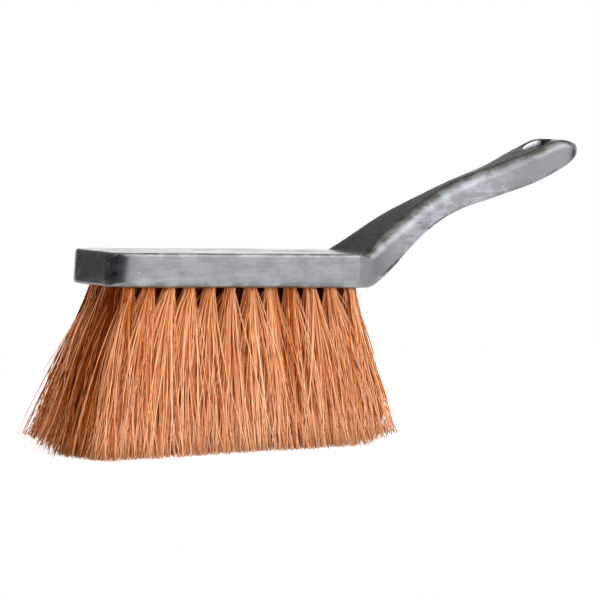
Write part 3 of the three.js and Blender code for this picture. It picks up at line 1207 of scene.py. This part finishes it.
@dataclass(frozen=True)
class CoirRow:
    """One row of tufts. Fibres leave each hole in locks, fan out and are trimmed level at the floor.

    Fibres are numbered lock by lock. Places in a tuft run from -1 to 1 along x and y.
    """

    tufts: TuftField
    row: int
    # Locks and fibres
    locks: int = 28
    fibres_a_lock: int = 10
    lock_size: float = 0.2
    lock_jitter: float = 0.08
    fibre_jitter: float = 0.6
    fan: float = 0.92
    loose_fan: float = 1.9
    loose_share: float = 0.32
    twist: float = 0.2
    bend: float = -0.45
    bend_spread: float = 0.3
    edge_bend: float = 0.15
    radius: float = 0.24
    radius_spread: float = 0.05
    radius_limits: Pair = (0.6, 1.5)
    tip_taper: float = 0.35
    taper_band: Pair = (0.55, 1.0)
    root_depths: tuple[float, ...] = (10.8, 0.0)
    steps: int = 8
    # Spread of the tips
    lock_scatter: float = 3.2
    fibre_scatter: float = 0.9
    free_share: float = 0.55
    free_scatter: float = 7.5
    lock_wave: float = 2.8
    lock_turn: float = 2.4
    fibre_wave: float = 1.5
    fibre_turns: Pair = (3.5, 9.0)
    wisp_share: float = 0.16
    wisp_reach: Pair = (1.0, 5.0)
    field_corner: float = 14.0
    edge_scatter: float = 1.6
    end_insets: Pair = (8.0, 3.0)
    # Tones
    base_tone: float = 0.66
    lock_tones: float = 0.12
    fibre_tones: float = 0.15
    # Painted shade: the inner rows are darker.
    inner_row_shade: float = -0.3
    dark_share: float = 0.14
    dark_tone: float = -0.38
    # Painted shade: the free end's outward fibres are darker, unevenly from lock to lock.
    free_end_shade: float = -0.28
    free_end_shade_range: Pair = (-1.3, 3.0)
    free_end_shade_band: Pair = (-0.2, 0.6)
    tone_limits: Pair = (0.02, 0.98)
    tone_cell: float = 0.02
    bake_margin: float = 0.02
    # Trim
    trim_scatter: float = 0.35
    short_share: float = 0.04
    short_length: float = 7.0
    worn_corners: tuple[WornCorner, ...] = (
        WornCorner(place=(-22.0, 40.0), reach=44.0, lift=10.0),
        WornCorner(place=(172.0, -40.0), reach=30.0, lift=8.0),
        WornCorner(place=(172.0, 40.0), reach=24.0, lift=5.0),
    )
    sides: int = 3
    seed: int = 20

    @property
    def name(self) -> str:
        """Name of the piece."""
        return f"coir_row_{self.row + 1}"

    @property
    def lock_of_fibre(self) -> np.ndarray:
        """Number of the lock that each fibre of a tuft is in."""
        return np.repeat(np.arange(self.locks), self.fibres_a_lock)

    @property
    def down(self) -> np.ndarray:
        """Place of each ring down a fibre, from the root (0) to the tip (1)."""
        return np.concatenate((np.zeros(len(self.root_depths) - 1), np.linspace(0.0, 1.0, self.steps + 1)))

    def bunch(self, place: int, draws: np.random.Generator) -> np.ndarray:
        """Bunches a tuft's fibres in its hole.

        Args:
            place: The tuft's place in the row.
            draws: Source of the random draws.

        Returns:
            Places of the fibres in the tuft.
        """
        order = np.arange(self.locks)
        out = np.sqrt((order + 0.5) / self.locks)
        turn = order * math.pi * GOLDEN_SHARE + place
        centres = np.stack((out * np.cos(turn), out * np.sin(turn)), axis=-1)
        centres += draws.normal(0.0, self.lock_jitter, centres.shape)
        across = centres[self.lock_of_fibre]
        across = across + self.lock_size * draws.normal(0.0, self.fibre_jitter, across.shape)
        return across / np.maximum(np.linalg.norm(across, axis=1, keepdims=True), 1.0)

    def outward(self, across: np.ndarray, place: int) -> np.ndarray:
        """Says which fibres of a tuft lean out of the field of tips.

        Args:
            across: Places of the fibres in the tuft.
            place: The tuft's place in the row.

        Returns:
            True along x and y where a fibre leans out.
        """
        out = np.zeros_like(across, dtype=bool)
        if place == 0:
            out[:, 0] = across[:, 0] < 0.0
        if place == self.tufts.tufts_per_row - 1:
            out[:, 0] = across[:, 0] > 0.0
        if self.tufts.kind(self.row) is RowKind.OUTER:
            out[:, 1] = across[:, 1] * self.tufts.row_shift(self.row) > 0.0
        return out

    def tips(self, across: np.ndarray, place: int, draws: np.random.Generator) -> np.ndarray:
        """Places a tuft's fibre tips, some in loose locks that cross into the next tufts.

        Args:
            across: Places of the fibres in the tuft.
            place: The tuft's place in the row.
            draws: Source of the random draws.

        Returns:
            One tip a fibre, along x and y.
        """
        count = len(across)
        lock = self.lock_of_fibre
        out = self.outward(across, place)
        loose = draws.random(self.locks)[lock] < self.loose_share
        fan = np.where(loose, self.loose_fan, self.fan)[:, None].repeat(2, axis=1)
        fan[out] = 1.0
        half_cell = np.array([self.tufts.cell_length / 2.0, self.tufts.cell_width / 2.0])
        turned = across + draws.normal(0.0, self.twist, (count, 2)) * ~out
        tips = self.tufts.foot(self.row, place)[:2] + turned * fan * half_cell
        tips += draws.normal(0.0, self.lock_scatter, (self.locks, 2))[lock]
        scatter = np.where(draws.random(count) < self.free_share, self.free_scatter, self.fibre_scatter)
        tips += draws.normal(0.0, 1.0, (count, 2)) * scatter[:, None]
        wisps = draws.random(self.locks) < self.wisp_share
        tucked = ~wisps[lock][:, None]
        low, high = self.tufts.field_corners()
        low = low + tucked * np.array([self.end_insets[0], 0.0])
        high = high - tucked * np.array([self.end_insets[1], 0.0])
        inside = np.clip(tips, low + self.field_corner, high - self.field_corner)
        stretch = (wisps * draws.uniform(*self.wisp_reach, self.locks))[lock] * draws.random(count)
        away = (tips - inside) * (1.0 + stretch / self.field_corner)[:, None]
        reach = np.maximum(np.linalg.norm(away, axis=1), self.field_corner / 2.0)
        limit = self.field_corner + stretch + draws.normal(0.0, self.edge_scatter, count)
        return inside + away * np.minimum(1.0, limit / reach)[:, None]

    def tip_heights(self, tips: np.ndarray, draws: np.random.Generator) -> np.ndarray:
        """Trims the tips level with the floor, but for short fibres and worn corners.

        Args:
            tips: Tips along x and y.
            draws: Source of the random draws.

        Returns:
            The tips' heights in the stock's frame.
        """
        trim = np.abs(draws.normal(0.0, self.trim_scatter, len(tips)))
        shorter = draws.random(len(tips)) < self.short_share
        trim[shorter] += draws.random(int(shorter.sum())) * self.short_length
        for corner in self.worn_corners:
            away = np.linalg.norm(tips - np.array(corner.place), axis=1)
            trim += corner.lift * (1.0 - smooth_rise(away, 0.0, corner.reach))
        return self.tufts.stance.floor_height(tips[:, 0]) + trim

    def paths(self, across: np.ndarray, place: int, draws: np.random.Generator) -> np.ndarray:
        """Lays out one tuft's fibres from their roots to their tips.

        Args:
            across: Places of the fibres in the tuft.
            place: The tuft's place in the row.
            draws: Source of the random draws.

        Returns:
            Points by fibre and ring in the stock's frame.
        """
        count = len(across)
        tips = self.tips(across, place, draws)
        tip_height = self.tip_heights(tips, draws)
        bend = draws.normal(self.bend, self.bend_spread, (count, 2))
        bend[self.outward(across, place)] = self.edge_bend
        phase = draws.random((self.locks, 2))[self.lock_of_fibre] * FULL_TURN
        own_phase = draws.random((count, 2)) * FULL_TURN
        own_turn = draws.uniform(*self.fibre_turns, (count, 1))
        bundle = self.tufts.hole_diameter / 2.0 - self.radius
        start = self.tufts.root(self.row, place)[:2] + across * bundle
        mouth = np.concatenate((start, np.zeros((count, 1))), axis=1)
        rings = [mouth + depth * self.tufts.inwards(self.row, place) for depth in self.root_depths]
        for share in np.linspace(0.0, 1.0, self.steps + 1)[1:]:
            fanned = share * (1.0 - bend * (1.0 - share))
            wave = self.lock_wave * (np.sin(phase + self.lock_turn * share) - np.sin(phase))
            wave += self.fibre_wave * (np.sin(own_phase + own_turn * share) - np.sin(own_phase))
            flat = start + fanned * (tips - start) + share * wave
            rings.append(np.concatenate((flat, (share * tip_height)[:, None]), axis=1))
        return np.stack(rings, axis=1)

    def tones(self, across: np.ndarray, place: int, draws: np.random.Generator) -> np.ndarray:
        """Draws the tones of one tuft's fibres, with painted shade within the brush and at its free end.

        Args:
            across: Places of the fibres in the tuft.
            place: The tuft's place in the row.
            draws: Source of the random draws.

        Returns:
            One tone a fibre, from 0 to 1.
        """
        lock = self.lock_of_fibre
        tones = self.base_tone + draws.normal(0.0, self.lock_tones, self.locks)[lock]
        tones += draws.normal(0.0, self.fibre_tones, len(lock))
        tones += self.dark_tone * (draws.random(self.locks) < self.dark_share)[lock]
        # Painted shade within the brush.
        if self.tufts.kind(self.row) is RowKind.INNER:
            tones += self.inner_row_shade
        # Painted shade on the free end's outward fibres.
        if place == 0:
            shaded = self.free_end_shade * draws.uniform(*self.free_end_shade_range, self.locks)[lock]
            tones += shaded * smooth_rise(-across[:, 0], *self.free_end_shade_band)
        return np.clip(tones, *self.tone_limits)

    def thicken(self, paths: np.ndarray, draws: np.random.Generator) -> np.ndarray:
        """Gives the fibres their thickness and stands them on the floor.

        Args:
            paths: Points by fibre and ring in the stock's frame.
            draws: Source of the random draws.

        Returns:
            Points by fibre, ring and side, in metres.
        """
        count = len(paths)
        thin, thick = (share * self.radius for share in self.radius_limits)
        radius = draws.normal(self.radius, self.radius_spread, count).clip(thin, thick)
        taper = 1.0 - self.tip_taper * smooth_rise(self.down, *self.taper_band)
        turn = draws.random(count)[:, None] * FULL_TURN + np.arange(self.sides) * FULL_TURN / self.sides
        spokes = np.stack((np.cos(turn), np.sin(turn), np.zeros_like(turn)), axis=-1)
        size = radius[:, None] * taper[None, :]
        points = paths[:, :, None, :] + size[:, :, None, None] * spokes[:, None, :, :]
        points = self.tufts.stance.place(points)
        points[..., 2] = np.maximum(points[..., 2], 0.0)
        return points

    def skin(self, points: np.ndarray, tones: np.ndarray) -> bpy.types.Object:
        """Skins the fibres and marks each point's tone and place down its fibre.

        The map for baking has a point's tone along one side and its place down the fibre along the other.

        Args:
            points: Points by fibre, ring and side, in metres.
            tones: One tone a fibre.

        Returns:
            A mesh object of closed fibres.
        """
        count, rings, sides = points.shape[:3]
        side = np.arange(sides)
        here = np.arange(rings - 1)[:, None] * sides + side
        following = np.arange(rings - 1)[:, None] * sides + (side + 1) % sides
        walls = np.stack((here, here + sides, following + sides, following), axis=-1).reshape(1, -1, 4)
        caps = np.stack((side, (rings - 1) * sides + side[::-1]))[None, :, :]
        first = (np.arange(count) * rings * sides)[:, None, None]
        faces = (walls + first).reshape(-1, 4).tolist() + (caps + first).reshape(-1, sides).tolist()
        piece = new_piece(self.name, points.reshape(-1, 3), faces)
        tone = np.repeat(tones, rings * sides).astype(np.float32)
        down = np.tile(np.repeat(self.down, sides), count).astype(np.float32)
        mark_points(piece, {"tone": tone, "down": down})
        spread = np.tile(np.linspace(-0.5, 0.5, sides), count * rings) * self.tone_cell
        height = self.bake_margin + (1.0 - 2.0 * self.bake_margin) * down
        places = np.stack((np.clip(tone + spread, 0.0, 1.0), height), axis=-1)
        corners = np.empty(len(piece.data.loops), dtype=np.int32)
        piece.data.loops.foreach_get("vertex_index", corners)
        bake_map = piece.data.uv_layers.new(name="OFBake")
        bake_map.data.foreach_set("uv", places[corners].astype(np.float32).ravel())
        return piece

    def build(self, finish: Finish) -> bpy.types.Object:
        """Builds and dresses the row.

        Args:
            finish: The fibres' finish.

        Returns:
            The row, riding on the brush.
        """
        draws = np.random.default_rng(self.seed + self.row)
        paths, tones = [], []
        for place in range(self.tufts.tufts_per_row):
            across = self.bunch(place, draws)
            paths.append(self.paths(across, place, draws))
            tones.append(self.tones(across, place, draws))
        piece = self.skin(self.thicken(np.concatenate(paths), draws), np.concatenate(tones))
        finish.dress(piece)
        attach(piece, BODY)
        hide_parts(f"bristle_row_{self.row + 1}")
        return piece


@dataclass(frozen=True)
class TuftAnchors:
    """The flat steel anchors, one in each tuft hole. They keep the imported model's own meshes."""

    prefix: str = "anchor_"

    def dress(self, nodes: Mapping[str, bpy.types.Object], finish: Finish) -> list[bpy.types.Object]:
        """Dresses the anchors.

        Args:
            nodes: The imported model's nodes by name.
            finish: The anchors' finish.

        Returns:
            The anchors.
        """
        anchors = [node for name, node in nodes.items() if name.startswith(self.prefix)]
        for anchor in anchors:
            finish.dress(anchor)
        return anchors


@dataclass(frozen=True)
class Lamp:
    """A soft rectangular lamp that the camera doesn't see, in metres and watts."""

    name: str
    place: Triple
    size: Pair
    power: float
    mirrored: bool = False
    target: Triple = (0.0, 0.0, 0.08)

    def hang(self) -> None:
        """Hangs the lamp so that it faces the brush."""
        light = bpy.data.lights.new(self.name, "AREA")
        light.shape = "RECTANGLE"
        light.size, light.size_y = self.size
        light.energy = self.power
        lamp = bpy.data.objects.new(self.name, light)
        lamp.location = self.place
        lamp.rotation_euler = (Vector(self.target) - Vector(self.place)).to_track_quat("-Z", "Y").to_euler()
        lamp.visible_camera = False
        lamp.visible_glossy = self.mirrored
        bpy.context.scene.collection.objects.link(lamp)


@dataclass(frozen=True)
class Glow:
    """Light of the room that is strongest from one heading.

    Its width is the cosines of the angles from the heading where the light starts and where it is full.
    """

    heading: Triple
    width: Pair
    strength: float = 1.0

    def draw(self, sheet: Sheet, way: Socket) -> Socket:
        """Draws the glow's nodes.

        Args:
            sheet: The sheet to draw on.
            way: The direction's socket.

        Returns:
            The strength's socket.
        """
        inputs = {0: way, 1: Vector(self.heading).normalized()}
        facing = sheet.node("ShaderNodeVectorMath", inputs, operation="DOT_PRODUCT").outputs["Value"]
        return sheet.remap(facing, self.width, (0.0, self.strength))


@dataclass(frozen=True)
class Studio:
    """A pale floor, four soft lamps, a room that glows from a few sides, and the camera. In metres."""

    # Camera
    view_turn: float = math.radians(30.2049)
    view_fall: float = math.radians(4.0126)
    view_distance: float = 3.0
    view_limits: Pair = (0.1, 50.0)
    target: Triple = (-0.06468, 0.0, 0.095)
    target_pixel: Pair = (218.167, 270.600)
    frame_pixels: float = 600.0
    focal_pixels: float = 5573.0
    sensor_width: float = 36.0
    # Light
    lamps: tuple[Lamp, ...] = (
        Lamp("key_lamp", place=(0.62, -0.9, 0.8), size=(0.9, 0.5), power=1.2, mirrored=True),
        Lamp("front_lamp", place=(-0.05, -1.35, 0.5), size=(0.9, 0.6), power=11.6),
        Lamp("side_lamp", place=(-1.1, -0.55, 0.12), size=(0.5, 0.4), power=5.4),
        Lamp("rear_lamp", place=(0.25, 1.2, 0.55), size=(0.9, 0.6), power=9.0),
    )
    front_glow: Glow = Glow(heading=(0.4665, -0.808, 0.36), width=(0.47, 0.93), strength=2.1)
    front_tint: Colour = (0.87, 0.94, 1.0)
    back_glow: Glow = Glow(heading=(0.1, 0.9, 0.43), width=(-0.2, 0.6), strength=0.125)
    over_glow: Glow = Glow(heading=(0.1, -0.1, 1.0), width=(0.6, 1.0), strength=0.4)
    back_low_tint: Colour = (0.98, 0.98, 1.0)
    back_high_tint: Colour = (1.0, 0.96, 0.8)
    back_tint_heights: Pair = (0.1, 0.4)
    sweep_width: Pair = (0.62, 0.98)
    sweep_by_height: Ramp = ((0.08, 0.465), (2.2, 0.0))
    # Floor
    floor_corners: tuple[Pair, Pair] = ((-0.3, -0.9), (0.9, 0.45))

    def camera(self) -> None:
        """Stands the camera at the photograph's viewing angle."""
        turn, fall = self.view_turn, self.view_fall
        right = Vector((math.cos(turn), -math.sin(turn), 0.0))
        ahead = Vector((math.sin(turn) * math.cos(fall), math.cos(turn) * math.cos(fall), -math.sin(fall)))
        up = right.cross(ahead)
        middle = self.frame_pixels / 2.0
        aim = ahead + right * ((middle - self.target_pixel[0]) / self.focal_pixels)
        aim -= up * ((middle - self.target_pixel[1]) / self.focal_pixels)
        lens = bpy.data.cameras.new("camera")
        lens.sensor_width = self.sensor_width
        lens.lens = self.focal_pixels * self.sensor_width / self.frame_pixels
        lens.clip_start, lens.clip_end = self.view_limits
        camera = bpy.data.objects.new("camera", lens)
        camera.location = Vector(self.target) - ahead * self.view_distance
        camera.rotation_euler = aim.to_track_quat("-Z", "Y").to_euler()
        bpy.context.scene.collection.objects.link(camera)
        bpy.context.scene.camera = camera

    def room(self) -> None:
        """Sets the room's light: white to the camera, dim on the brush, with a bright sweep to mirror."""
        world = bpy.data.worlds.new("room")
        world.use_nodes = True
        bpy.context.scene.world = world
        sheet = Sheet(world.node_tree)
        way = sheet.node("ShaderNodeTexCoord").outputs["Generated"]
        height = sheet.node("ShaderNodeSeparateXYZ", {0: way}).outputs[2]
        sweep = Glow((math.sin(self.view_turn), math.cos(self.view_turn), 0.0), self.sweep_width)
        swept = sheet.maths("MULTIPLY", sheet.remap(height, *self.sweep_by_height), sweep.draw(sheet, way))
        behind = sheet.maths("ADD", self.back_glow.draw(sheet, way), self.over_glow.draw(sheet, way))
        raised = sheet.remap(height, self.back_tint_heights, (0.0, 1.0))
        tint = sheet.blend(raised, self.back_low_tint, self.back_high_tint)
        lights = (
            (opaque(self.front_tint), self.front_glow.draw(sheet, way)),
            (tint, sheet.maths("ADD", behind, swept)),
            (opaque((1.0, 1.0, 1.0)), 1.0),
        )
        front, back, white = (
            sheet.node("ShaderNodeBackground", {"Color": colour, "Strength": strength}).outputs[0]
            for colour, strength in lights
        )
        lit = sheet.node("ShaderNodeAddShader", {0: front, 1: back}).outputs[0]
        seen = sheet.node("ShaderNodeLightPath").outputs["Is Camera Ray"]
        mixed = sheet.node("ShaderNodeMixShader", {0: seen, 1: lit, 2: white}).outputs[0]
        sheet.node("ShaderNodeOutputWorld", {"Surface": mixed})

    def floor(self) -> None:
        """Lays the floor that the brush stands on."""
        (left, near), (right, far) = self.floor_corners
        points = np.array([(left, near, 0.0), (right, near, 0.0), (right, far, 0.0), (left, far, 0.0)])
        piece = new_piece("floor", points, [[0, 1, 2, 3]])
        PaleFloor().dress(piece)

    def build(self) -> None:
        """Sets up the camera, the light and the floor."""
        self.camera()
        for lamp in self.lamps:
            lamp.hang()
        self.room()
        self.floor()
        bpy.context.scene.view_settings.view_transform = "Standard"


def main() -> None:
    """Builds the brush and its studio, and reports each piece."""
    logging.basicConfig(level=logging.INFO, format="%(name)s: %(message)s")
    Studio().build()
    stock = Stock()
    stance = Stance.on_mount(frame["record"], stock.mount_place)
    tufts = TuftField(stance, stock.block_length, stock.block_width)
    pieces = [stock.build(tufts, MouldedPlastic(stance))]
    pieces += [CoirRow(tufts, row).build(CoirFibre()) for row in range(tufts.rows)]
    pieces += TuftAnchors().dress(frame["nodes"], AnchorSteel())
    for piece in pieces:
        LOG.info("%s: %d faces", piece.name, len(piece.data.polygons))


if __name__ == "__main__":
    main()
